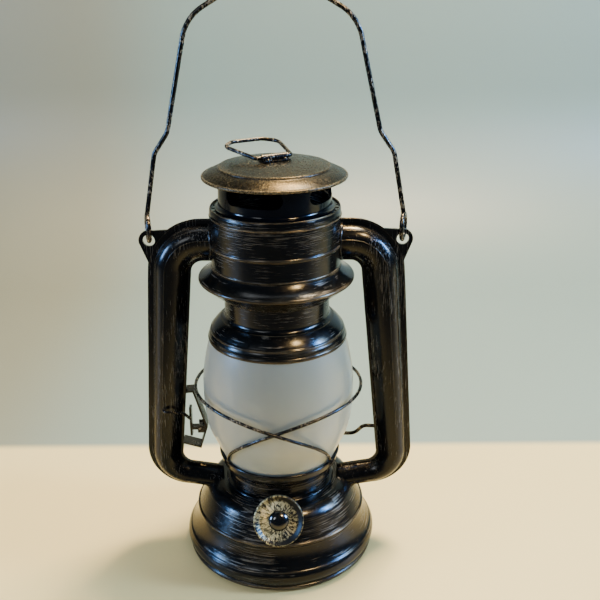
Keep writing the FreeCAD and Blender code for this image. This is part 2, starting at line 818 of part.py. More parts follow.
# ---- bail ----
def bail():
    """Wire bail: an eye through each ear, two kinks in each leg and a low arch."""
    ear = ear_centre()
    pivot_z = ear.z + bail_eye
    legs = [(ear.x, bail_eye), (ear.x - 8.2, 53.5), (ear.x - 18.2, 68.0), (ear.x - 35.0, 143.0)]
    right = [Vec(x, 0, pivot_z + rise) for x, rise in legs]
    peak = Vec(0, 0, pivot_z + bail_rise + 9.8)
    left = [Vec(-p.x, 0, p.z) for p in reversed(right)]
    path = Part.Wire(route(right + [peak] + left, (14.0, 14.0, 30.0, 60.0, 30.0, 14.0, 14.0)))
    start = right[0]
    section = Part.Wire(Part.makeCircle(bail_wire, start, right[1] - right[0]))
    arch = path.makePipeShell([section], True, True)
    eyes = []
    for side in (-1, 1):
        twist = math.radians(bail_twist) * side
        normal = Vec(math.cos(twist), -math.sin(twist), 0)
        eyes.append(Part.makeTorus(bail_eye, bail_wire, Vec(side * ear.x, 0, pivot_z), normal))
    return arch.fuse(eyes)


# ---- lever, bracket and wires beside the tubes ----
def strip(points, thickness, width, middle_y=0.0):
    """Flat strip bent along points in the XZ plane, given its thickness and its width along Y."""
    line = Part.makePolygon([Vec(x, middle_y - width / 2, z) for x, z in points])
    band = line.makeOffset2D(thickness, 2, True, True)
    face = band.Faces[0] if band.Faces else band
    return face.extrude(Vec(0, width, 0))


def tube_inner_x(z):
    """Distance from the axis to the inner edge of the tube's flange at a height on the shaft."""
    along = (shaft_top.z - z) / math.cos(splay)
    full = (shaft_top - bottom_corner()).Length - bottom_bend * math.tan(down.getAngle(inward) / 2)
    share = along / full
    width = top_form[0] + (middle_form[0] - top_form[0]) * share
    centre_x = shaft_top.x + along * math.sin(splay)
    return centre_x - (width / 2 + middle_form[3]) / math.cos(splay)


def lever_bracket():
    """Bent strap from the left tube towards the globe and back, with two ears for the lever's pin."""
    top_z = lever_z + bracket_up
    low_z = lever_z - bracket_down
    strap = strip([(-tube_inner_x(top_z) + 0.2, top_z), (lever_x - 9.0, top_z + 0.5),
                   (lever_x - 0.2, lever_z + 2), (lever_x - 5.5, low_z - 1),
                   (-tube_inner_x(low_z) + 0.2, low_z + 3)], bracket_strip, bracket_width)
    inner = lever_width / 2 + 3 * loose
    outer = inner + bracket_ear
    ears = [block((lever_x - 6.6, -outer, lever_z - 3), (lever_x - 0.6, -inner, lever_z + 3)),
            block((lever_x - 6.6, inner, lever_z - 3), (lever_x - 0.6, outer, lever_z + 3))]
    return strap.fuse(ears).cut(rod(Vec(pin_x, -9, lever_z), Vec(pin_x, 9, lever_z), pin_radius))


def lift_lever():
    """Thumb lever: a hub on the pin, a short foot and an upright thumb piece beside the tube."""
    half = lever_width / 2
    hub_half = half + loose + 0.1
    thumb_x = pin_x - thumb_reach
    hub = rod(Vec(pin_x, -hub_half, lever_z), Vec(pin_x, hub_half, lever_z), 2.3)
    arm = block((thumb_x, -half, lever_z - 1.6), (pin_x, half, lever_z + 0.4))
    thumb = block((thumb_x - thumb_thickness, -half, lever_z - 7.0), (thumb_x, half, lever_z + thumb_height))
    lever = hub.fuse([arm, thumb])
    return lever.cut(rod(Vec(pin_x, -9, lever_z), Vec(pin_x, 9, lever_z), pin_radius + running))


def lever_pin():
    """Riveted pin through the bracket's ears and the lever."""
    reach = lever_width / 2 + 3 * loose + bracket_ear
    pin = rod(Vec(pin_x, -reach - 0.3, lever_z), Vec(pin_x, reach + 0.3, lever_z), pin_radius)
    heads = [rod(Vec(pin_x, way * reach, lever_z), Vec(pin_x, way * (reach + 0.8), lever_z), 1.8)
             for way in (-1, 1)]
    return pin.fuse(heads)


def catch_points():
    """Route of the catch wire, from inside the left tube's front face to beside the thumb piece."""
    z = lever_z + 20.5
    hole = Vec(-(tube_inner_x(z) + 15.2), -9.0, z)
    return [hole, hole + Vec(0, -5.6, 0), hole + Vec(9.5, -5.4, -0.6), Vec(lever_x - 16.0, -7.5, z - 5.0),
            Vec(lever_x - 12.4, -4.9, z - 11.0)]


def catch_wire():
    """Bent wire catch beside the lever."""
    return wire_rod(route(catch_points()), small_wire)


def anchor_wire():
    """Bent wire that ties the cup's rear right side to the right tube."""
    z = cup_z + 28.0
    start = around(cup_radius + cup_lip + small_wire - 0.1, 28, cup_rim_z - 1.0)
    end = Vec(tube_inner_x(z) - 0.05, 0, z)
    points = [start, Vec(cup_radius + 5.9, 13.5, cup_rim_z + 2.4),
              Vec(cup_radius + 13.4, 7.0, cup_rim_z + 6.5), Vec(cup_radius + 19.9, 2.0, z - 0.6), end]
    return wire_rod(route(points), anchor_wire_radius)


def build():
    """Make every node and write it."""
    os.makedirs("parts", exist_ok=True)
    right_front = tube_half()
    right_rear = right_front.mirror(ORIGIN, REAR)
    left_front = right_front.mirror(ORIGIN, EAST)
    left_rear = left_front.mirror(ORIGIN, REAR)
    catch_hole = rod(catch_points()[0], catch_points()[1], small_wire + 0.02)
    left_front = left_front.cut(catch_hole)
    nodes = {
        "base_shell": base_shell(), "base_plate": base_plate(), "mounting_ring": mounting_ring(),
        "plate_screws": plate_screws(), "rubber_feet": rubber_feet(), "battery_door": battery_door(),
        "battery_box": battery_box(), "battery_cells": battery_cells(), "contact_plates": contact_plates(),
        "circuit_board": circuit_board(), "dimmer_body": dimmer_body(), "dimmer_nut": dimmer_nut(),
        "dimmer_shaft": dimmer_shaft(), "dial_dish": dial_dish(), "dial_dome": dial_dome(),
        "globe_cup": globe_cup(), "globe": globe(), "led_board": led_board(), "led_lamps": led_lamps(),
        "light_post": light_post(), "led_leads": led_leads(), "guard_hoop_left": guard_hoop(-1),
        "guard_hoop_right": guard_hoop(1), "tube_right_front": right_front, "tube_right_rear": right_rear,
        "tube_left_front": left_front, "tube_left_rear": left_rear, "air_drum": air_drum(),
        "air_skirt": air_skirt(), "bell_neck": bell_neck(), "vent_collar": vent_collar(), "cap": cap(),
        "ring_clip": ring_clip(), "clip_rivets": clip_rivets(), "lift_ring": lift_ring(), "bail": bail(),
        "lever_bracket": lever_bracket(), "lift_lever": lift_lever(), "lever_pin": lever_pin(),
        "catch_wire": catch_wire(), "anchor_wire": anchor_wire(),
    }
    for name, shape in nodes.items():
        save(name, shape)


build()
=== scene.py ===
import json
import math

import bmesh
import bpy
import numpy as np

from mathutils import Matrix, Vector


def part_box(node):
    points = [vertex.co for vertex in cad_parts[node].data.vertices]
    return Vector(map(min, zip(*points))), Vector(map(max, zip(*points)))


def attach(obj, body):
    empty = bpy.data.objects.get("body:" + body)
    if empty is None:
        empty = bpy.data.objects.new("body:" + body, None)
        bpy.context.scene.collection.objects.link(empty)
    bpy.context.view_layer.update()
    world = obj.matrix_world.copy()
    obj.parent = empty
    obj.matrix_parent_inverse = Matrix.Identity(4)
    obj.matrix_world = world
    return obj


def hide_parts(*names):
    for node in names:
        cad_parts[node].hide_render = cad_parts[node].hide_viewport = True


# %% [markdown]
# # A hurricane lantern, dry-brushed with bronze
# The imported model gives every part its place. This lesson dresses it: turned sheet metal is worked out as
# surfaces of revolution, wires as round rods carried along their routes, and each finish is built from
# nodes that follow the object itself. Lengths are in metres, and MM turns millimetres into them.

# %% Load the frame
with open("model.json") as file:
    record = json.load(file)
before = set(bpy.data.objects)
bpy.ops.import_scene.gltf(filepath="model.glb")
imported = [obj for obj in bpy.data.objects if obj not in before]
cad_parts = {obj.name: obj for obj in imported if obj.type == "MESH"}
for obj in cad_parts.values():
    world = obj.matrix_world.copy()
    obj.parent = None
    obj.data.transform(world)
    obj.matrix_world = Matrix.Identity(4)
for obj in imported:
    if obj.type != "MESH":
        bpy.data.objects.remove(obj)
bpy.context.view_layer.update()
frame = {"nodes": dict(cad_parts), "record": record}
MM = 0.001

# %% [markdown]
# ## Drawing a turned outline
# Spun sheet metal starts as an outline of radius against height. Long stretches are arcs through three
# points, so an outline needs only the points that its shape needs. Sheet thickness is added by stepping
# inwards along each point's normal, which closes the outline into a loop.


# %% Outlines
def bow(start, middle, end, count=16):
    """Points of the circle through three points: centre from the two perpendicular bisectors, then equal
    steps of angle from start to end on the side of the middle point."""
    a, b, c = (np.array(p, float) for p in (start, middle, end))
    rows = 2 * np.array([b - a, c - a])
    centre = np.linalg.solve(rows, [b @ b - a @ a, c @ c - a @ a])
    radius = np.hypot(*(a - centre))
    angles = [math.atan2(p[1] - centre[1], p[0] - centre[0]) for p in (a, b, c)]
    sweep = (angles[2] - angles[0]) % (2 * math.pi)
    if (angles[1] - angles[0]) % (2 * math.pi) > sweep:
        sweep -= 2 * math.pi
    turn = angles[0] + sweep * np.linspace(0, 1, count)
    return centre + radius * np.stack([np.cos(turn), np.sin(turn)], axis=1)


def straight(start, end, count=12):
    """Points on the line between two points, closer together near its ends: share = (1 - cos t) / 2."""
    share = (0.5 - 0.5 * np.cos(np.linspace(0, math.pi, count)))[:, None]
    return np.array(start, float) * (1 - share) + np.array(end, float) * share


def outline(start, *steps):
    """Arcs and lines end to end, in millimetres: a step of one point is a line, of two points an arc."""
    runs = []
    here = start
    for step in steps:
        if isinstance(step[0], tuple):
            runs.append(bow(here, step[0], step[1]))
            here = step[1]
        else:
            runs.append(straight(here, step))
            here = step
    points = np.concatenate(runs)
    keep = np.r_[True, np.hypot(*np.diff(points, axis=0).T) > 1e-6]
    return points[keep]


def side_of(points):
    """Unit normal on the right of the path at each point: its tangent turned a quarter turn."""
    along = np.gradient(points, axis=0)
    along /= np.hypot(along[:, 0], along[:, 1])[:, None] + 1e-12
    return np.stack([along[:, 1], -along[:, 0]], axis=1)


def walled(points, wall):
    """The outline closed into a loop: out along the sheet's face and back a wall's thickness inside it."""
    inner = points + side_of(points) * wall
    inner[:, 0] = np.maximum(inner[:, 0], 0.0)
    return np.concatenate([points, inner[::-1]])


print("points of an arc:", len(bow((1.0, 0.0), (0.7, 0.7), (0.0, 1.0))))

# %% [markdown]
# ## From arrays to meshes
# Every new piece is a grid of points. The faces of a grid follow from its shape alone, so one helper turns
# any grid into a closed mesh, and a second number per point, the wear, is kept as an attribute: it is high
# on ridges and rims, where rubbing would take the paint away first. On some turned pieces it also carries a
# painted highlight.


# %% Grids
def quads(rows, columns, wrap_rows, wrap_columns):
    """Corner numbers of each square of a grid, joined round where a direction closes on itself."""
    last_row = rows if wrap_rows else rows - 1
    last_column = columns if wrap_columns else columns - 1
    i, j = np.meshgrid(np.arange(last_row), np.arange(last_column), indexing="ij")
    i, j = i.ravel(), j.ravel()
    right, below = (j + 1) % columns, (i + 1) % rows
    corners = [i * columns + j, i * columns + right, below * columns + right, below * columns + j]
    return np.stack(corners, axis=1)


def facing_out(points, faces):
    """The faces turned so that the volume that they close is positive: the sum of a . (b x c) / 6."""
    a, b, c, d = (points[faces[:, k]] for k in range(4))
    volume = np.sum(a * np.cross(b, c)) + np.sum(a * np.cross(c, d))
    return faces if volume > 0 else faces[:, ::-1]


def mesh_piece(name, points, faces, wear_and_highlight=None, poles=False):
    """A smooth mesh object from arrays of points and square faces, with the points at its poles merged."""
    mesh = bpy.data.meshes.new(name)
    mesh.from_pydata(points.tolist(), [], faces.tolist())
    if wear_and_highlight is not None:
        layer = mesh.attributes.new("wear_and_highlight", "FLOAT", "POINT")
        layer.data.foreach_set("value", np.asarray(wear_and_highlight, dtype=np.float32).ravel())
    if poles:
        merged = bmesh.new()
        merged.from_mesh(mesh)
        bmesh.ops.remove_doubles(merged, verts=merged.verts, dist=1e-7)
        merged.to_mesh(mesh)
        merged.free()
    mesh.validate()
    mesh.shade_smooth()
    piece = bpy.data.objects.new(name, mesh)
    bpy.context.scene.collection.objects.link(piece)
    return piece


def ridges(loop, spread=0.32):
    """Wear of each point of a closed outline, 0 to 1: the turns of its outward corners, each spread along
    the outline as a bell curve of distance."""
    onward = np.roll(loop, -1, axis=0) - loop
    back = np.roll(onward, 1, axis=0)
    across = back[:, 1] * onward[:, 0] - back[:, 0] * onward[:, 1]
    turning = np.arctan2(across, np.sum(back * onward, axis=1))
    place = np.r_[0, np.cumsum(np.hypot(*onward.T))][:-1]
    gap = np.abs(place[:, None] - place[None, :])
    total = place[-1] + np.hypot(*onward[-1])
    gap = np.minimum(gap, total - gap)
    felt = np.exp(-0.5 * (gap / spread) ** 2) @ np.maximum(turning, 0.0)
    least_felt, gain = 0.12, 1.5
    return np.clip((felt - least_felt) * gain, 0, 1)


def lathe(name, loop, turns=200, highlight_patch=None):
    """A closed outline carried round Z: x = r cos a, y = r sin a, z = z, for a full turn of a. The last
    argument adds a painted highlight to the wear as a function of angle and height."""
    angle = np.linspace(0, 2 * math.pi, turns, endpoint=False)
    radius, height = loop[:, :1] * MM, loop[:, 1:] * MM
    grid = np.stack([radius * np.cos(angle), radius * np.sin(angle), height + 0 * angle], axis=-1)
    wear_and_highlight = ridges(loop)[:, None] + 0 * angle
    if highlight_patch is not None:
        wear_and_highlight = np.clip(wear_and_highlight + highlight_patch(angle, loop[:, 1:]), 0, 1)
    points = grid.reshape(-1, 3)
    faces = facing_out(points, quads(len(loop), turns, True, True))
    return mesh_piece(name, points, faces, wear_and_highlight, poles=loop[:, 0].min() < 1e-6)


def wire(name, path, radius, closed=False, sides=12, worn=1.0):
    """A round rod along a path in metres. Across the path, each point has the tangent's two normals u and
    v, and the surface is path + radius (u cos t + v sin t). An open end closes over a half ball."""
    if not closed:
        turn = np.linspace(0, math.pi / 2, 5)[:-1]
        first = (path[0] - path[1]) / np.linalg.norm(path[0] - path[1])
        last = (path[-1] - path[-2]) / np.linalg.norm(path[-1] - path[-2])
        bulge = radius * np.cos(turn)[:, None]
        swell = radius * np.sin(turn)
        girth = np.concatenate([swell, np.full(len(path), radius), swell[::-1]])
        path = np.concatenate([path[0] + first * bulge, path, path[-1] + last * bulge[::-1]])
        along = np.gradient(path, axis=0)
    else:
        girth = np.full(len(path), radius)
        along = np.roll(path, -1, axis=0) - np.roll(path, 1, axis=0)
    along /= np.linalg.norm(along, axis=1)[:, None]
    guide = np.array([0.0, 1.0, 0.0]) if not closed else path - path.mean(axis=0)
    u = np.cross(along, guide)
    u /= np.linalg.norm(u, axis=1)[:, None]
    v = np.cross(along, u)
    t = np.linspace(0, 2 * math.pi, sides, endpoint=False)[None, :, None]
    ring = u[:, None, :] * np.cos(t) + v[:, None, :] * np.sin(t)
    points = (path[:, None, :] + girth[:, None, None] * ring).reshape(-1, 3)
    faces = facing_out(points, quads(len(path), sides, closed, True))
    return mesh_piece(name, points, faces, np.full(len(points), worn), poles=not closed)


def dress(piece, body, slot, *nodes):
    """Give a new piece its body, its finish and the nodes that it stands for."""
    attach(piece, body)
    piece.data.materials.append(finishes[slot])
    if nodes:
        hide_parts(*nodes)
    triangles = sum(len(face.vertices) - 2 for face in piece.data.polygons)
    print(piece.name, "on", body, "-", triangles, "triangles")


print("squares of a grid of 4 by 3 points:", len(quads(4, 3, False, False)))

# %% [markdown]
# ## Finishes
# The lantern is sprayed black and then dry-brushed: a nearly dry brush of bronze is dragged over it, so
# the bronze lies in fine streaks along the stroke, in patches where the brush pressed, and on every edge.
# The streaks are noise stretched along the stroke. On turned sheet the strokes run round the axis, so the
# noise is read at (angle, radius, height); on tubes and wires they run lengthwise.


# %% Node helpers
def new_material(name):
    """An empty node material with its output and one principled shader."""
    material = bpy.data.materials.new(name)
    material.use_nodes = True
    nodes, links = material.node_tree.nodes, material.node_tree.links
    nodes.clear()
    output = nodes.new("ShaderNodeOutputMaterial")
    shader = nodes.new("ShaderNodeBsdfPrincipled")
    links.new(shader.outputs[0], output.inputs[0])
    return material, nodes, links, shader


def math_node(nodes, links, operation, first, second=None, clamp=False):
    """One arithmetic step on two values, either of which may be a number or an output."""
    node = nodes.new("ShaderNodeMath")
    node.operation = operation
    node.use_clamp = clamp
    for socket, value in zip(node.inputs, (first, second)):
        if value is None:
            continue
        if isinstance(value, (int, float)):
            socket.default_value = value
        else:
            links.new(value, socket)
    return node.outputs[0]


def noise(nodes, links, place, scale, detail=4.0, rough=0.6):
    """Fractal noise at a place, from 0 to 1."""
    node = nodes.new("ShaderNodeTexNoise")
    node.inputs["Scale"].default_value = scale
    node.inputs["Detail"].default_value = detail
    node.inputs["Roughness"].default_value = rough
    links.new(place, node.inputs["Vector"])
    return node.outputs["Fac"]


def between(nodes, links, value, low, high, to_low=0.0, to_high=1.0):
    """Stretch a value from one range to another, held at its ends."""
    node = nodes.new("ShaderNodeMapRange")
    node.interpolation_type = "SMOOTHSTEP"
    for name, number in (("From Min", low), ("From Max", high), ("To Min", to_low), ("To Max", to_high)):
        node.inputs[name].default_value = number
    links.new(value, node.inputs["Value"])
    return node.outputs["Result"]


def blend_colours(nodes, links, factor, first, second):
    """Mix two colours, each a triple or an output, by a factor."""
    node = nodes.new("ShaderNodeMix")
    node.data_type = "RGBA"
    links.new(factor, node.inputs["Factor"])
    for socket, colour in ((node.inputs[6], first), (node.inputs[7], second)):
        if isinstance(colour, tuple):
            socket.default_value = (*colour, 1.0)
        else:
            links.new(colour, socket)
    return node.outputs[2]


def object_place(nodes):
    """Object coordinates."""
    return nodes.new("ShaderNodeTexCoord").outputs["Object"]


def round_place(nodes, links, along, across):
    """(along sin a, along cos a, across (z + 0.77 r)): noise read here is drawn out round the axis, and
    still changes across flat and sloping rings."""
    split = nodes.new("ShaderNodeSeparateXYZ")
    links.new(object_place(nodes), split.inputs[0])
    x, y, z = split.outputs
    angle = math_node(nodes, links, "ARCTAN2", y, x)
    square = math_node(nodes, links, "ADD", math_node(nodes, links, "MULTIPLY", x, x),
                       math_node(nodes, links, "MULTIPLY", y, y))
    slant = math_node(nodes, links, "MULTIPLY", math_node(nodes, links, "SQRT", square), 0.77)
    place = nodes.new("ShaderNodeCombineXYZ")
    parts = (math_node(nodes, links, "MULTIPLY", math_node(nodes, links, "SINE", angle), along),
             math_node(nodes, links, "MULTIPLY", math_node(nodes, links, "COSINE", angle), along),
             math_node(nodes, links, "MULTIPLY", math_node(nodes, links, "ADD", z, slant), across))
    for socket, value in zip(place.inputs, parts):
        links.new(value, socket)
    return place.outputs[0]


def stretched_place(nodes, links, scale):
    """Object coordinates scaled by different amounts in X, Y and Z."""
    mapping = nodes.new("ShaderNodeMapping")
    mapping.inputs["Scale"].default_value = scale
    links.new(object_place(nodes), mapping.inputs["Vector"])
    return mapping.outputs[0]


def wear_and_highlight_value(nodes):
    """The wear attribute of a piece, 0 where it has none: edge wear, plus painted highlights on some pieces.
    """
    node = nodes.new("ShaderNodeAttribute")
    node.attribute_name = "wear_and_highlight"
    return node.outputs["Fac"]


# %% [markdown]
# ## Dry-brushed enamel
# The same paint is on nearly every piece, so one function mixes it, and each finish only chooses where its
# strokes run and how hard the brush pressed. It could be painted by hand onto an image, but noise keeps its
# detail at any distance and needs no unwrapping. Two noises are enough: a fine one for the bristles and a
# broad one for the pressure. The edges are found by the wear that the meshes above carry, and the same
# attribute lays the painted highlights in bronze.

# %% Dry-brushed enamel
stroke_level = 0.665
stroke_crispness = 14.0


def dry_brushed(name, strokes, patches, dust=(0.105, 0.094, 0.080), bright=(0.30, 0.22, 0.125),
                black=(0.0030, 0.0033, 0.0040), cover=0.0, press=0.12, gloss=0.20, edge=0.8,
                shine=0.22, metal=0.6):
    """Black enamel under strokes of bronze. A stroke shows where its noise passes a level, and the level is
    lower by press where the brush pressed and by cover everywhere. Worn edges and painted highlight patches
    are brighter, by edge. The bare enamel's roughness is gloss, its reflection is shine, and metal is how
    metallic the bronze is."""
    material, nodes, links, shader = new_material(name)
    fine = noise(nodes, links, strokes(nodes, links), 1.0, 4.0, 0.66)
    broad = noise(nodes, links, patches(nodes, links), 1.0, 3.0, 0.55)
    pressed = between(nodes, links, broad, 0.38, 0.64)
    lowered = math_node(nodes, links, "MULTIPLY", pressed, press)
    level = math_node(nodes, links, "SUBTRACT", stroke_level - cover, lowered)
    above = math_node(nodes, links, "SUBTRACT", fine, level)
    streak = math_node(nodes, links, "MULTIPLY", above, stroke_crispness, clamp=True)
    broken = math_node(nodes, links, "MULTIPLY", between(nodes, links, fine, 0.42, 0.62, 0.10, edge),
                       between(nodes, links, broad, 0.34, 0.58, 0.30, 1.0))
    # worn is edge wear plus any painted highlight patch that the attribute carries.
    worn = math_node(nodes, links, "MULTIPLY", wear_and_highlight_value(nodes), broken)
    brushed = math_node(nodes, links, "MULTIPLY", streak, 0.8)
    rubbed = math_node(nodes, links, "MAXIMUM", brushed, worn, clamp=True)
    painted = blend_colours(nodes, links, streak, black, dust)
    links.new(blend_colours(nodes, links, worn, painted, bright), shader.inputs["Base Color"])
    links.new(math_node(nodes, links, "MULTIPLY", rubbed, metal), shader.inputs["Metallic"])
    shader.inputs["Specular IOR Level"].default_value = shine
    mottled = noise(nodes, links, object_place(nodes), 420.0, 3.0, 0.6)
    satin = math_node(nodes, links, "ADD", between(nodes, links, mottled, 0.3, 0.7, -0.05, 0.05),
                      between(nodes, links, rubbed, 0.0, 1.0, gloss, 0.40))
    links.new(satin, shader.inputs["Roughness"])
    bump = nodes.new("ShaderNodeBump")
    bump.inputs["Strength"].default_value = 0.30
    bump.inputs["Distance"].default_value = 0.00012
    height = math_node(nodes, links, "ADD", rubbed, math_node(nodes, links, "MULTIPLY", mottled, 0.7))
    links.new(height, bump.inputs["Height"])
    links.new(bump.outputs[0], shader.inputs["Normal"])
    return material


turned_enamel = dry_brushed(
    "turned_enamel", lambda n, l: round_place(n, l, 2.2, 2100.0), lambda n, l: round_place(n, l, 1.6, 38.0),
    cover=0.015)
tube_enamel = dry_brushed(
    "tube_enamel", lambda n, l: stretched_place(n, l, (1300.0, 1300.0, 60.0)),
    lambda n, l: stretched_place(n, l, (60.0, 60.0, 24.0)), dust=(0.095, 0.092, 0.086),
    bright=(0.22, 0.18, 0.125), cover=0.01)
cap_bronze = dry_brushed(
    "cap_bronze", lambda n, l: stretched_place(n, l, (900.0, 900.0, 900.0)),
    lambda n, l: stretched_place(n, l, (26.0, 26.0, 26.0)), dust=(0.052, 0.043, 0.023),
    bright=(0.24, 0.185, 0.10), black=(0.0038, 0.0036, 0.0026), cover=0.0, gloss=0.27, shine=0.10, metal=0.4)
gloss_enamel = dry_brushed(
    "gloss_enamel", lambda n, l: round_place(n, l, 3.0, 900.0), lambda n, l: round_place(n, l, 2.0, 60.0),
    black=(0.0020, 0.0032, 0.0065), cover=-0.12, gloss=0.13, edge=0.4)
wire_enamel = dry_brushed(
    "wire_enamel", lambda n, l: stretched_place(n, l, (900.0, 900.0, 420.0)),
    lambda n, l: stretched_place(n, l, (90.0, 90.0, 90.0)), dust=(0.26, 0.215, 0.155), cover=0.06)
enamels = (turned_enamel, tube_enamel, cap_bronze, gloss_enamel, wire_enamel)
print("dry-brushed finishes:", len(enamels))


# %% [markdown]
# ## Frosted glass
# The globe's glass is milky all through and etched on its face: light passes, but nothing behind it can be
# told apart. A rough transmitting shader with a pale body does this, with a faint smooth coat for the soft
# window lights, and slow, weak noise for the etch.


# %% Frosted glass
def frosted_glass():
    """Milky glass with an etched face."""
    material, nodes, links, shader = new_material("frosted_glass")
    cloud = noise(nodes, links, stretched_place(nodes, links, (14.0, 14.0, 9.0)), 1.0, 3.0, 0.5)
    grain = noise(nodes, links, object_place(nodes), 1800.0, 2.0, 0.5)
    links.new(blend_colours(nodes, links, between(nodes, links, cloud, 0.3, 0.7), (0.385, 0.425, 0.415),
                            (0.47, 0.505, 0.495)), shader.inputs["Base Color"])
    links.new(between(nodes, links, grain, 0.2, 0.8, 0.34, 0.46), shader.inputs["Roughness"])
    shader.inputs["Transmission Weight"].default_value = 0.12
    shader.inputs["IOR"].default_value = 1.46
    shader.inputs["Coat Weight"].default_value = 0.35
    shader.inputs["Coat Roughness"].default_value = 0.22
    bump = nodes.new("ShaderNodeBump")
    bump.inputs["Strength"].default_value = 0.15
    bump.inputs["Distance"].default_value = 0.0001
    links.new(grain, bump.inputs["Height"])
    links.new(bump.outputs[0], shader.inputs["Normal"])
    return material


# %% [markdown]
# ## Dial and hidden pieces
# The dial's ring is metal scratched outwards from its middle, so its noise is read at the angle round the
# dial's own centre and changes more slowly along the radius. What is inside the lantern is moulded plastic,
# bare steel or rubber, and a fine grain in colour, gloss and height is all that these need.

# %% Dial and plain finishes
def dial_gold(centre):
    """Gold-green metal brushed outwards from the dial's middle, in flaky radial strokes, with painted shade
    on its right side.
    """
    material, nodes, links, shader = new_material("dial_gold")
    shift = nodes.new("ShaderNodeVectorMath")
    shift.operation = "SUBTRACT"
    links.new(object_place(nodes), shift.inputs[0])
    shift.inputs[1].default_value = centre
    turn = nodes.new("ShaderNodeMapping")
    turn.inputs["Rotation"].default_value = (math.radians(-62.0), 0.0, 0.0)
    links.new(shift.outputs[0], turn.inputs["Vector"])
    split = nodes.new("ShaderNodeSeparateXYZ")
    links.new(turn.outputs[0], split.inputs[0])
    x, y, _ = split.outputs
    angle = math_node(nodes, links, "ARCTAN2", y, x)
    square = math_node(nodes, links, "ADD", math_node(nodes, links, "MULTIPLY", x, x),
                       math_node(nodes, links, "MULTIPLY", y, y))
    radius = math_node(nodes, links, "SQRT", square)
    place = nodes.new("ShaderNodeCombineXYZ")
    for socket, wave in zip(place.inputs, ("SINE", "COSINE")):
        side = math_node(nodes, links, wave, angle)
        links.new(math_node(nodes, links, "MULTIPLY", side, 9.0), socket)
    links.new(math_node(nodes, links, "MULTIPLY", radius, 330.0), place.inputs[2])
    stroke = noise(nodes, links, place.outputs[0], 1.0, 5.0, 0.7)
    dark_rim = between(nodes, links, radius, 0.0132, 0.0160, 0.0, 0.75)
    lip = between(nodes, links, radius, 0.0174, 0.0182, 0.0, 0.5)
    flake = between(nodes, links, stroke, 0.45, 0.53)
    # Painted shade: the gold flakes fade out towards the dial's right side.
    painted_shade_right = between(nodes, links, x, -0.012, 0.010, -0.25, 0.45)
    # The bare recess of the rim is the paint's own; the darker right side added to it is painted shade.
    bare_rim_and_painted_shade = math_node(nodes, links, "ADD", math_node(nodes, links, "SUBTRACT", dark_rim, lip), painted_shade_right)
    show = math_node(nodes, links, "SUBTRACT", flake, bare_rim_and_painted_shade, clamp=True)
    gold = blend_colours(nodes, links, stroke, (0.26, 0.22, 0.09), (0.95, 0.85, 0.50))
    links.new(blend_colours(nodes, links, show, (0.006, 0.006, 0.005), gold), shader.inputs["Base Color"])
    links.new(math_node(nodes, links, "MULTIPLY", show, 0.6), shader.inputs["Metallic"])
    shader.inputs["Specular IOR Level"].default_value = 0.2
    links.new(between(nodes, links, stroke, 0.3, 0.7, 0.28, 0.48), shader.inputs["Roughness"])
    bump = nodes.new("ShaderNodeBump")
    bump.inputs["Strength"].default_value = 0.6
    bump.inputs["Distance"].default_value = 0.0003
    links.new(stroke, bump.inputs["Height"])
    links.new(bump.outputs[0], shader.inputs["Normal"])
    return material


def plain(name, colour, roughness, metallic=0.0, coat=0.0, grain=600.0, depth=0.00006):
    """A moulded or rolled material with a fine grain in its colour, gloss and surface."""
    material, nodes, links, shader = new_material(name)
    speck = noise(nodes, links, object_place(nodes), grain, 4.0, 0.6)
    darker = tuple(0.72 * v for v in colour)
    links.new(blend_colours(nodes, links, between(nodes, links, speck, 0.3, 0.7), darker, colour),
              shader.inputs["Base Color"])
    links.new(between(nodes, links, speck, 0.25, 0.75, roughness * 0.8, min(1.0, roughness * 1.2)),
              shader.inputs["Roughness"])
    shader.inputs["Metallic"].default_value = metallic
    shader.inputs["Coat Weight"].default_value = coat
    shader.inputs["Coat Roughness"].default_value = 0.06
    bump = nodes.new("ShaderNodeBump")
    bump.inputs["Strength"].default_value = 0.3
    bump.inputs["Distance"].default_value = depth
    links.new(speck, bump.inputs["Height"])
    links.new(bump.outputs[0], shader.inputs["Normal"])
    return material


# %% [markdown]
# ## Which piece wears what
# The frame's record names a material slot for every node. A table from slot to finish dresses all of them
# in one loop, and nothing else about the nodes is touched.

# %% Finishes by slot
dial_low, dial_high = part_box("dial_dish")
dial_middle = tuple(0.5 * (dial_low + dial_high))
finishes = {
    "frosted_glass": frosted_glass(),
    "dial_gold": dial_gold(dial_middle),
    "dial_black": plain("dial_black", (0.004, 0.004, 0.005), 0.16, coat=0.25, grain=300.0),
    "plain_steel": plain("plain_steel", (0.55, 0.55, 0.54), 0.32, metallic=1.0),
    "foot_rubber": plain("foot_rubber", (0.025, 0.025, 0.026), 0.8),
    "black_plastic": plain("black_plastic", (0.022, 0.022, 0.024), 0.5),
    "cell_jacket": plain("cell_jacket", (0.06, 0.09, 0.16), 0.3, coat=0.4),
    "board_green": plain("board_green", (0.03, 0.17, 0.07), 0.35),
    "board_white": plain("board_white", (0.8, 0.8, 0.78), 0.4),
    "lamp_lens": plain("lamp_lens", (0.85, 0.8, 0.5), 0.15, coat=0.8),
    "white_plastic": plain("white_plastic", (0.8, 0.8, 0.78), 0.45),
    "lead_vinyl": plain("lead_vinyl", (0.45, 0.04, 0.03), 0.4),
    "rubbed_enamel": turned_enamel,
    "tube_enamel": tube_enamel,
    "cap_bronze": cap_bronze,
    "gloss_enamel": gloss_enamel,
    "wire_black": wire_enamel,
}
slot_of = {part["node"]: part["material_slot"] for part in frame["record"]["subparts"]}
for node, piece in frame["nodes"].items():
    for material_slot in piece.material_slots:
        material_slot.material = finishes[slot_of[node]]
print("finishes:", len(finishes))

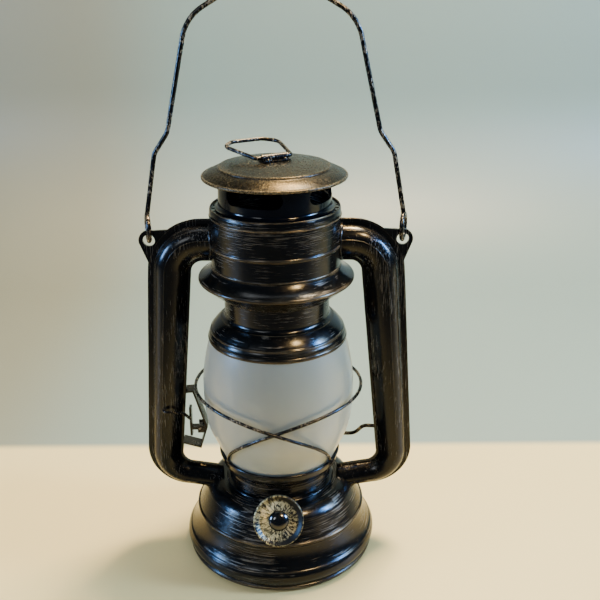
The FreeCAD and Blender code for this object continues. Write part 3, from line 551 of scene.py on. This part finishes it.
# %% [markdown]
# ## Spun sheet
# The base, drum, skirt, bell and cap are spun from sheet over a form. Each is drawn as the outline that the
# spinner's tool follows, from the top down, with the ridges and grooves that stiffen it, and then turned.
# The frame gives each outline its radius and its two heights.


# %% Places from the frame
sheet_wall, hood_wall, cap_wall = 1.0, 0.8, 0.9


def reach_of(node):
    """Outer radius, lowest and highest height of a turned node, in millimetres."""
    node_low, node_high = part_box(node)
    return node_high[0] / MM, node_low[2] / MM, node_high[2] / MM


def painted_highlight_patch(angle_degrees, height, angle_reach, height_reach, strength):
    """A painted highlight, added to the wear, that fades as a bell curve away from one place on a turned
    piece.
    """
    def highlight_patch(angle, z):
        away = (angle - math.radians(angle_degrees) + math.pi) % (2 * math.pi) - math.pi
        return strength * np.exp(-(away / angle_reach) ** 2 - ((z - height) / height_reach) ** 2)
    return highlight_patch


# %% [markdown]
# ## Base
# The base is one deep pressing: a neck for the globe's cup, a shoulder, a leaning wall for the dial and a
# flared foot with a rolled bead. Its outline has an arc for every bend of the sheet, because highlights on
# gloss paint show at once where a bend is too sharp. A bronze patch to the right of the dial is a painted
# highlight.

# %% Base
base_reach, base_low, base_high = reach_of("base_shell")
shoulder = base_high - 22.5
base_line = outline(
    (39.0, base_high), (44.0, base_high), ((53.6, base_high - 2.9), (57.8, base_high - 7.5)),
    (65.2, shoulder + 1.2), ((66.5, shoulder + 0.5), (66.5, shoulder - 0.9)), (66.0, shoulder - 2.0),
    ((68.4, shoulder - 11.0), (72.6, shoulder - 18.4)), ((73.2, shoulder - 18.9), (73.8, shoulder - 19.8)),
    ((base_reach, base_low + 10.8), (base_reach - 1.0, base_low + 6.4)), (base_reach - 1.9, base_low + 5.4),
    ((base_reach - 2.6, base_low + 4.3), (base_reach - 1.9, base_low + 3.2)),
    ((base_reach - 1.5, base_low + 1.6), (base_reach - 3.4, base_low)), (base_reach - 6.0, base_low))
# The patch to the right of the dial is a painted highlight in bronze, not wear.
base = lathe("base", walled(base_line, sheet_wall), 240, painted_highlight_patch(-52, base_high - 12, 0.30, 7.0, 0.75))
dress(base, "lantern", "rubbed_enamel", "base_shell")
circle = np.linspace(0, 2 * math.pi, 20, endpoint=False)
neck_middle, neck_half_width, neck_half_height = 41.2, 1.3, 0.9
neck_loop = np.stack([neck_middle + neck_half_width * np.cos(circle),
                      base_high + neck_half_height * np.sin(circle)], axis=1)
neck_ring = lathe("neck_ring", neck_loop, 160)
dress(neck_ring, "lantern", "rubbed_enamel")

# %% [markdown]
# ## Drum
# The drum hides the tubes' ends, and its top has a ring of short slots for the air. They could be cut with
# booleans, but a smooth function of angle and radius presses them in and keeps the mesh a clean grid.

# %% Drum and its slotted top
drum_reach, drum_low, drum_high = reach_of("air_drum")
drum_wall = drum_reach - 0.7
drum_line = outline(
    (45.2, drum_high - 1.5), (45.6, drum_high - 0.3), ((46.0, drum_high), (46.4, drum_high - 0.5)),
    ((drum_wall - 0.1, drum_high - 2.6), (drum_wall, drum_high - 5.0)), (drum_wall, drum_high - 5.8),
    ((drum_wall + 0.45, drum_high - 6.3), (drum_wall, drum_high - 6.8)), (drum_wall, drum_low + 17.8),
    ((drum_reach, drum_low + 16.4), (drum_wall, drum_low + 15.0)), (drum_wall, drum_low + 1.4),
    ((drum_wall + 0.35, drum_low + 0.8), (drum_wall, drum_low + 0.2)), (drum_wall, drum_low))
drum = lathe("drum", walled(drum_line, sheet_wall), 220)
dress(drum, "lantern", "rubbed_enamel", "air_drum")


def slotted_ring(name, inner, outer, height, slots):
    """A flat ring with short radial slots pressed into it: z = height - depth a(angle) b(radius), where a
    and b rise smoothly from 0 outside a slot to 1 inside it. The underside is flat."""
    angle = np.linspace(0, 2 * math.pi, slots * 24, endpoint=False)
    radius = np.linspace(inner, outer, 22)
    slot_circle, slot_middle, half_width, half_length, slot_depth = 43.9, 43.8, 0.75, 0.85, 1.1
    off_slot = np.abs((angle * slots / (2 * math.pi)) % 1 - 0.5) * 2 * math.pi / slots * slot_circle
    across = 1 / (1 + np.exp((off_slot - half_width) * 12))
    along_slot = 1 / (1 + np.exp((np.abs(radius - slot_middle) - half_length) * 9))
    top = height - slot_depth * along_slot[:, None] * across[None, :]
    rows = np.concatenate([radius, radius[::-1]])
    z = np.concatenate([top, np.full_like(top, height - 1.9)])
    grid = np.stack([rows[:, None] * np.cos(angle), rows[:, None] * np.sin(angle), z], axis=-1) * MM
    points = grid.reshape(-1, 3)
    return mesh_piece(name, points, facing_out(points, quads(len(rows), len(angle), True, True)),
                      np.zeros(len(points)))


drum_top = slotted_ring("drum_top", 39.2, 45.4, drum_high - 1.5, 36)
dress(drum_top, "lantern", "gloss_enamel")

# %% [markdown]
# ## Skirt, bell and cap
# The skirt throws rain off the hood, the bell holds the globe down and the cap closes the chimney. All three
# are plain spun shapes, and each has a bronze patch near its front, which is a painted highlight.

# %% Skirt, bell and cap
skirt_reach, skirt_low, skirt_high = reach_of("air_skirt")
skirt_line = outline(
    (46.0, skirt_high), (47.2, skirt_high - 0.2), ((51.0, skirt_high - 4.4), (55.8, skirt_high - 7.5)),
    ((skirt_reach, skirt_high - 8.9), (skirt_reach - 0.8, skirt_high - 10.5)), (42.2, skirt_low),
    (39.2, skirt_low))
# The patches on the skirt, bell and cap are painted highlights in bronze.
skirt = lathe("skirt", walled(skirt_line, sheet_wall), 200, painted_highlight_patch(-80, skirt_high - 9, 0.5, 2.5, 0.5))
dress(skirt, "lantern", "rubbed_enamel", "air_skirt")

bell_reach, bell_low, bell_high = reach_of("bell_neck")
bell_line = outline(
    (38.75, bell_high), (38.75, bell_low + 21.0), ((39.35, bell_low + 18.5), (41.75, bell_low + 17.0)),
    ((46.5, bell_low + 12.6), (49.2, bell_low + 9.0)), ((49.9, bell_low + 8.2), (50.0, bell_low + 7.2)),
    ((51.0, bell_low + 5.0), (51.3, bell_low + 3.0)),
    ((bell_reach, bell_low + 1.6), (bell_reach - 0.5, bell_low)), (bell_reach - 1.0, bell_low))
bell = lathe("bell", walled(bell_line, hood_wall), 200, painted_highlight_patch(-62, bell_low + 6, 0.30, 5.0, 0.55))
dress(bell, "hood", "rubbed_enamel", "bell_neck")

cap_reach, _, cap_high = reach_of("cap")
cap_line = outline(
    (0.0, cap_high), ((22.0, cap_high - 0.9), (38.2, cap_high - 2.9)),
    ((39.2, cap_high - 3.2), (39.7, cap_high - 4.1)),
    (40.2, cap_high - 4.5), ((46.0, cap_high - 6.7), (50.2, cap_high - 9.0)),
    ((cap_reach, cap_high - 9.9), (50.9, cap_high - 11.1)), (50.0, cap_high - 11.2))
cap = lathe("cap_dome", walled(cap_line, cap_wall), 200, painted_highlight_patch(-80, cap_high - 6, 0.35, 3.0, 0.6))
dress(cap, "hood", "cap_bronze", "cap")

# %% [markdown]
# ## Dial
# The dial is a turned dish whose flat ring was scratched outwards from the middle. Real scratches catch the
# light, so they are cut into the surface: the height is lowered by a sum of sines of the angle whose waves
# don't divide each other, which never repeats by eye, and fades out at the ring's two edges.


# %% Dial dish
def on_joint(points, joint):
    """Points made about Z in millimetres, leaned so that Z lies on a joint's axis, and moved there."""
    axis = np.array(joint["axis"])
    lean = math.acos(axis[2])
    y = points[..., 1] * math.cos(lean) - points[..., 2] * math.sin(lean)
    z = points[..., 1] * math.sin(lean) + points[..., 2] * math.cos(lean)
    return np.stack([points[..., 0], y, z], axis=-1) * MM + np.array(joint["pos_m"])


def scratched_dish(name, joint):
    """The dish's closed outline carried round its axis, its ring lowered by depth g(angle) w(radius)."""
    loop = outline((3.05, -1.9), (8.6, -1.9), (14.4, -1.9), ((15.0, -1.7), (15.4, -1.4)), (17.3, 0.0),
                   ((18.0, 0.45), (18.7, -0.1)), (18.7, -4.4), (9.0, -4.4), (9.0, -2.9), (3.05, -2.9),
                   (3.05, -1.9))[:-1]
    angle = np.linspace(0, 2 * math.pi, 480, endpoint=False)
    scratch = np.sin(67 * angle) + np.sin(97 * angle + 1.0) + np.sin(151 * angle + 2.0) + np.sin(31 * angle)
    radius, height = loop[:, :1], loop[:, 1:]
    face_up = (height > -2.0) & (radius < 17.0)
    fade = np.clip((radius - 7.6) / 1.5, 0, 1) * np.clip((16.0 - radius) / 1.5, 0, 1)
    window = np.where(face_up, fade, 0)
    scratch_depth = 0.045
    scratched = height + scratch_depth * (scratch - 3) * window
    grid = np.stack([radius * np.cos(angle), radius * np.sin(angle), scratched], axis=-1)
    points = on_joint(grid, joint).reshape(-1, 3)
    faces = facing_out(points, quads(len(loop), len(angle), True, True))
    return mesh_piece(name, points, faces, (ridges(loop)[:, None] + 0 * angle).ravel())


dial_joint = next(j for j in frame["record"]["behaviour"]["joints"] if j["name"] == "dial_turn")
dish = scratched_dish("dial", dial_joint)
dress(dish, "dial", "dial_gold", "dial_dish")

# %% [markdown]
# ## Pressed tubes
# Each side tube is two pressed halves that meet at a seam flange. The halves are the frame's own. Pressing
# leaves fine raised lines along the outer half and a crest line on its face, and the flange's edge is
# rolled and rubbed bright, so these are thin rods that follow the tube's middle line at a fixed place in
# its section.


# %% Middle line of a tube
def rounded(corners, radii, count=28):
    """Straight runs between corners, joined by arcs tangent to both: each arc starts and ends
    radius tan(turn / 2) from its corner."""
    corners = np.array(corners, float)
    runs = [corners[:1]]
    for here, before, after, radius in zip(corners[1:-1], corners[:-2], corners[2:], radii):
        back = (before - here) / np.linalg.norm(before - here)
        onward = (after - here) / np.linalg.norm(after - here)
        half = math.acos(np.clip(back @ onward, -1, 1)) / 2
        reach = radius / math.tan(half)
        inward = (back + onward) / np.linalg.norm(back + onward)
        middle = here + inward * (radius / math.sin(half) - radius)
        runs.append(bow(here + back * reach, middle, here + onward * reach, count))
    runs.append(corners[-1:])
    line = np.concatenate(runs)
    step = np.hypot(*np.diff(line, axis=0).T)
    place = np.r_[0, np.cumsum(step)]
    even = np.linspace(0, place[-1], 260)
    return np.stack([np.interp(even, place, line[:, 0]), np.interp(even, place, line[:, 1])], axis=1)


leg_height = drum_low + 16.6
top_corner = (75.0, leg_height)
low_corner = (90.55, base_high + 4.15)
foot = (57.6, base_high - 1.35)
middle_line = rounded([(drum_wall - 1.0, leg_height), top_corner, low_corner, foot], (23.0, 20.0))
outward = side_of(middle_line) * -1.0
travel = np.linspace(0, 1, len(middle_line))
print("tube line:", len(middle_line), "points")


def section_place(share, width, depth):
    """Place on the outer face of the tube's section: share 0 is the seam's root, share 1 is the crest."""
    face = bow((width / 2, 1.1), (0.37 * width, 0.37 * depth), (0.10 * width, depth / 2), 41)
    return face[int(round(share * 40))]


def tube_trim(name, side, front, share, radius, fin=None, worn=1.0):
    """A rod along a tube at one place of its section; fin places it on the flange's edge instead."""
    stations = np.array([0.0, 0.24, 0.76, 0.86, 1.0])
    widths, depths, fins = (25, 25, 21.4, 17, 17), (24, 24, 22, 19, 19), (4.3, 4.3, 4.3, 2.4, 2.4)
    if fin is None:
        spots = np.array([section_place(share, w, d) for w, d in zip(widths, depths)])
    else:
        spots = np.array([(w / 2 + f - fin, 0.0) for w, f in zip(widths, fins)])
    across = np.interp(travel, stations, spots[:, 0])
    forward = np.interp(travel, stations, spots[:, 1])
    flat = middle_line + outward * across[:, None]
    path = np.stack([side * flat[:, 0], -front * forward, flat[:, 1]], axis=1) * MM
    piece = wire(name, path, radius * MM, worn=worn)
    dress(piece, "lantern", "tube_enamel")


for side, side_name in ((1, "right"), (-1, "left")):
    tube_trim("rolled_edge_" + side_name, side, 1, 0, 1.15, fin=0.9, worn=0.40)
    for front, front_name in ((1, "front"), (-1, "rear")):
        tag = side_name + "_" + front_name
        tube_trim("outer_line_" + tag, side, front, 0.24, 0.34, worn=0.35)
        tube_trim("middle_line_" + tag, side, front, 0.48, 0.30, worn=0.28)
        tube_trim("crest_line_" + tag, side, front, 0.92, 0.40, worn=0.35)


# %% [markdown]
# ## Collars
# Where a tube enters the drum, a narrow collar covers the joint. It is the tube's oval section laid on the
# drum's round wall, so a closed wire that follows that curve is enough.

# %% Collars where the tubes meet the drum
def meeting_ring(name, side):
    """The tube's oval carried onto the drum: x follows the drum's circle, y and z the oval."""
    t = np.linspace(0, 2 * math.pi, 96, endpoint=False)
    half_width, half_height = 12.6, 13.2
    y, z = half_width * np.cos(t), half_height * np.sin(t)
    x = np.sqrt((drum_wall + 0.5) ** 2 - y ** 2)
    path = np.stack([side * x, y, leg_height + z], axis=1) * MM
    dress(wire(name, path, 1.0 * MM, closed=True, worn=0.15), "lantern", "tube_enamel")


meeting_ring("meeting_ring_right", 1)
meeting_ring("meeting_ring_left", -1)

# %% [markdown]
# ## Studio
# The lantern stands on a cream table top in front of a cool wall. Both are one sheet with a bend, so the
# only line behind the lantern is the one where the paint changes. The sheet is not part of the lantern.


# %% Table and wall
def backdrop_paint_with_painted_light():
    """Matt paint with a very faint grain: cream round the lantern and cool grey behind. The wall is darker
    and warmer at the left and lighter and bluer at the right, as painted window light, and the table turns
    dark grey well in front as painted shade."""
    material, nodes, links, shader = new_material("backdrop_paint_with_painted_light")
    split = nodes.new("ShaderNodeSeparateXYZ")
    links.new(object_place(nodes), split.inputs[0])
    across, depth, _ = split.outputs
    # Painted light: the wall is darker and warmer at the left and lighter and bluer at the right.
    wall = blend_colours(nodes, links, between(nodes, links, across, -0.34, -0.12), (0.255, 0.262, 0.195),
                         (0.255, 0.350, 0.335))
    # Painted shade: the table darkens to grey well in front of the lantern.
    table = blend_colours(nodes, links, between(nodes, links, depth, -0.45, -0.13), (0.10, 0.11, 0.12),
                          (0.98, 0.79, 0.38))
    links.new(blend_colours(nodes, links, between(nodes, links, depth, 0.128, 0.142), table, wall),
              shader.inputs["Base Color"])
    grain = noise(nodes, links, object_place(nodes), 500.0, 3.0, 0.5)
    links.new(between(nodes, links, grain, 0.2, 0.8, 0.45, 0.6), shader.inputs["Roughness"])
    return material


def backdrop():
    """A sheet that runs back along the table and curves up into the wall: depth against height as a line,
    a quarter circle and a line, drawn out sideways."""
    half = math.sqrt(0.5)
    bend = bow((0.55, 0.0), (0.55 + 0.25 * half, 0.25 * (1 - half)), (0.80, 0.25))
    table = straight((-4.0, 0.0), (0.55, 0.0))
    wall = straight((0.80, 0.25), (0.80, 3.0))
    line = np.concatenate([table, bend[1:], wall[1:]])
    across = np.linspace(-4.0, 4.0, 9)
    grid = np.stack([np.repeat(across[None, :], len(line), axis=0),
                     np.repeat(line[:, :1], len(across), axis=1),
                     np.repeat(line[:, 1:], len(across), axis=1)], axis=-1)
    faces = quads(len(line), len(across), False, False)
    return mesh_piece("backdrop", grid.reshape(-1, 3), faces[:, ::-1])


sheet = backdrop()
sheet.data.materials.append(backdrop_paint_with_painted_light())
print(sheet.name, "of", len(sheet.data.polygons), "squares")


# %% [markdown]
# ## Lights
# A pale window light stands on the right, a warm light hangs from the ceiling, and the rest are weak fills.
# Black enamel shows its shape mostly by what it mirrors, so four small blue and gold lights are added that
# reach glossy paint only, and leave the table, the wall and the globe as they are.

# %% Lights
def soft_light(name, place, aim, size, power, colour, glints_only=False):
    """A rectangular soft light at a place, facing a point. A glint light shows in glossy paint only."""
    lamp = bpy.data.lights.new(name, "AREA")
    lamp.shape = "RECTANGLE"
    lamp.size, lamp.size_y = size
    lamp.energy = power
    lamp.color = colour
    thing = bpy.data.objects.new(name, lamp)
    thing.location = place
    way = np.array(aim) - np.array(place)
    flat = math.hypot(way[0], way[1])
    thing.rotation_euler = (math.atan2(flat, -way[2]), 0.0, math.atan2(-way[0], way[1]))
    thing.visible_diffuse = not glints_only
    bpy.context.scene.collection.objects.link(thing)


middle = (0.0, 0.0, 0.18)
soft_light("window", (1.25, -0.10, 0.75), middle, (0.25, 0.50), 17.0, (0.62, 0.86, 1.0))
soft_light("ceiling", (0.30, 0.32, 1.36), middle, (0.28, 0.28), 38.0, (1.0, 0.80, 0.52))
soft_light("left_window", (-1.3, -0.45, 0.55), middle, (0.25, 0.45), 7.5, (0.60, 0.80, 1.0))
soft_light("front", (-0.95, -1.35, 1.15), middle, (0.5, 0.5), 7.0, (0.92, 0.97, 1.0))
soft_light("wall_light", (0.0, 0.15, 1.9), (0.0, 0.85, 0.5), (1.6, 0.5), 11.0, (0.90, 0.96, 1.0))
for glint, place, size, power, colour in (
        ("blue_glint", (1.20, -0.25, 0.80), (0.16, 0.40), 55.0, (0.10, 0.36, 1.0)),
        ("blue_glint_left", (-1.20, -0.30, 0.50), (0.14, 0.35), 22.0, (0.12, 0.40, 1.0)),
        ("gold_glint", (0.16, 0.42, 1.40), (0.22, 0.22), 70.0, (1.0, 0.60, 0.20)),
        ("gold_glint_front", (0.55, -0.55, 1.20), (0.20, 0.20), 24.5, (1.0, 0.66, 0.28))):
    soft_light(glint, place, middle, size, power, colour, glints_only=True)
print("lights:", len(bpy.data.lights))
world = bpy.data.worlds.new("room")
world.use_nodes = True
background = world.node_tree.nodes["Background"]
background.inputs["Color"].default_value = (0.62, 0.80, 1.0, 1.0)
background.inputs["Strength"].default_value = 0.1
bpy.context.scene.world = world

# %% [markdown]
# ## Camera
# The camera looks down on the lantern from the front, a little above the bail's ears. Its lens is slightly
# longer than normal, so the far side of each rim is only a little smaller than the near side.

# %% Camera
camera = bpy.data.cameras.new("camera")
camera.sensor_width = 36.0
camera.lens = 50.94
camera.clip_end = 20.0
viewer = bpy.data.objects.new("camera", camera)
viewer.location = (0.0171, -0.584, 0.442)
look_down = math.radians(90.0 - 21.9)
roll = math.radians(-0.43)
viewer.rotation_euler = (Matrix.Rotation(look_down, 3, "X") @ Matrix.Rotation(roll, 3, "Z")).to_euler()
bpy.context.scene.collection.objects.link(viewer)
bpy.context.scene.camera = viewer
print("camera at", tuple(round(value, 3) for value in viewer.location), "with a lens of", camera.lens, "mm")
